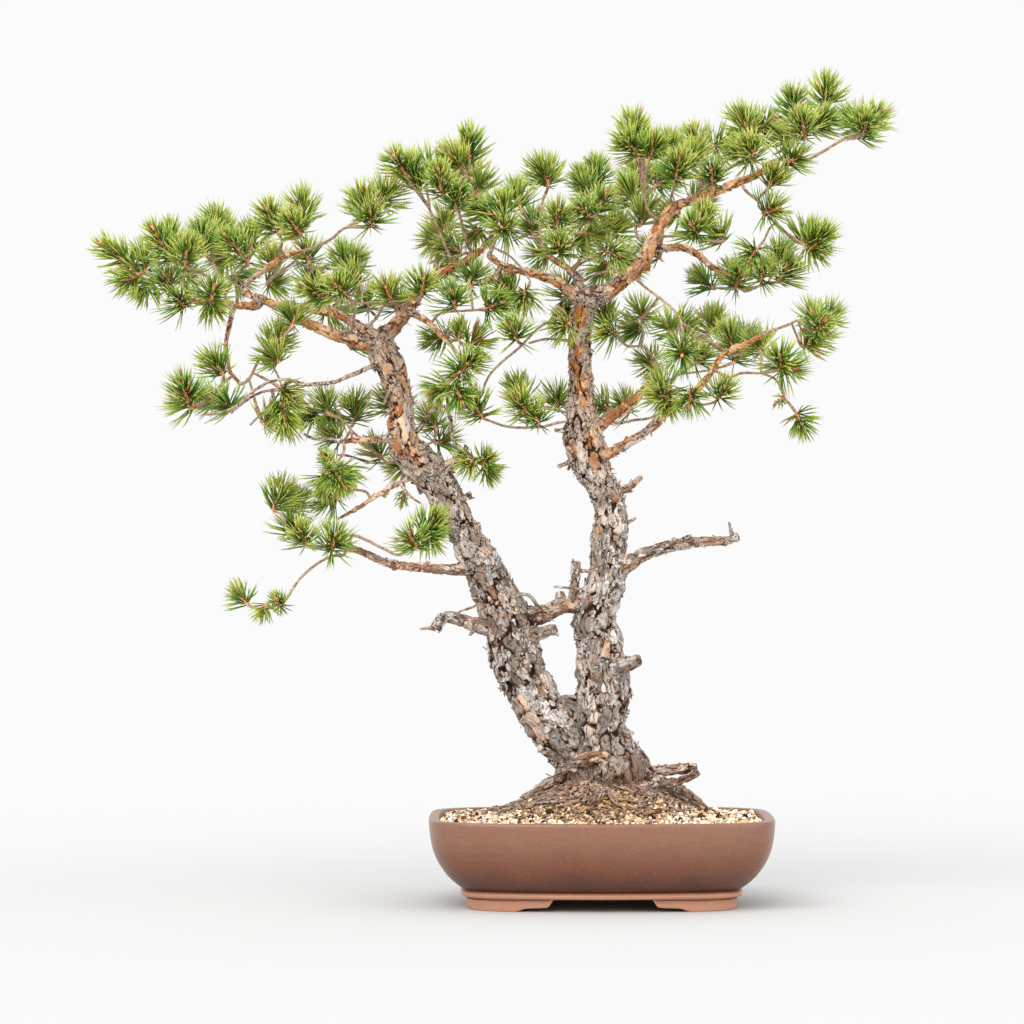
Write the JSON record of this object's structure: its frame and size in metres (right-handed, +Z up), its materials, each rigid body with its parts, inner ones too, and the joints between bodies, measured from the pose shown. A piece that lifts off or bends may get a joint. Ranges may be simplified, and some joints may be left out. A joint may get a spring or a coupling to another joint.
{
  "type": "scots pine bonsai",
  "caption": "Twin-trunk Scots pine in a shallow unglazed clay pot with arched feet, a low mound of gritty soil, dead stubs and dense sprays of needles.",
  "frame": {"origin": "on the ground under the middle of the whole object's box", "axes": "+Z up; the tree's front faces -Y; the crown's longer side reaches towards -X"},
  "size_m": [0.988, 0.4534, 1.0272],
  "materials": {
    "unglazed_clay": "matte",
    "grit_soil": "rough",
    "pine_bark": "rough",
    "pine_needles": "satin",
    "screen_plastic": "matte"
  },
  "bodies": {
    "root": {"drain_screen_left": "screen_plastic", "drain_screen_right": "screen_plastic", "pot": "unglazed_clay", "soil": "grit_soil", "spray_far_left_back": "pine_needles", "spray_far_left_front": "pine_needles", "spray_far_left_tip": "pine_needles", "spray_hang_left": "pine_needles", "spray_hang_right": "pine_needles", "spray_inner_left": "pine_needles", "spray_left_low": "pine_needles", "spray_left_middle": "pine_needles", "spray_limb_b_right": "pine_needles", "spray_limb_b_side": "pine_needles", "spray_limb_b_tip": "pine_needles", "spray_limb_c_tip": "pine_needles", "spray_limb_e_down": "pine_needles", "spray_limb_e_up": "pine_needles", "spray_limb_k_left": "pine_needles", "spray_limb_k_low": "pine_needles", "spray_limb_k_side": "pine_needles", "spray_limb_k_tip": "pine_needles", "spray_limb_p_back": "pine_needles", "spray_limb_p_hang": "pine_needles", "spray_limb_p_left": "pine_needles", "spray_limb_p_low": "pine_needles", "spray_limb_p_tip": "pine_needles", "spray_limb_p_up": "pine_needles", "spray_limb_r_right": "pine_needles", "spray_limb_r_side": "pine_needles", "spray_limb_r_tip": "pine_needles", "spray_long_thin": "pine_needles", "spray_low_left_hang": "pine_needles", "spray_low_left_over": "pine_needles", "spray_low_left_tip": "pine_needles", "spray_lower_left_twig": "pine_needles", "spray_middle_back": "pine_needles", "spray_middle_high": "pine_needles", "spray_middle_low": "pine_needles", "spray_middle_right": "pine_needles", "spray_right_far": "pine_needles", "spray_right_inner": "pine_needles", "spray_right_low_left": "pine_needles", "spray_right_low_right": "pine_needles", "spray_right_over": "pine_needles", "spray_right_short": "pine_needles", "spray_right_tall_back": "pine_needles", "spray_right_tall_front": "pine_needles", "spray_right_top": "pine_needles", "spray_right_up": "pine_needles", "spray_right_up_left": "pine_needles", "spray_trunk_left_back": "pine_needles", "spray_trunk_left_high": "pine_needles", "spray_trunk_right_back": "pine_needles", "spray_trunk_star": "pine_needles", "spray_twist_back": "pine_needles", "spray_twist_side": "pine_needles", "spray_twist_tip": "pine_needles", "spray_upper_left_twig": "pine_needles", "wood": "pine_bark"}
  },
  "joints": []
}
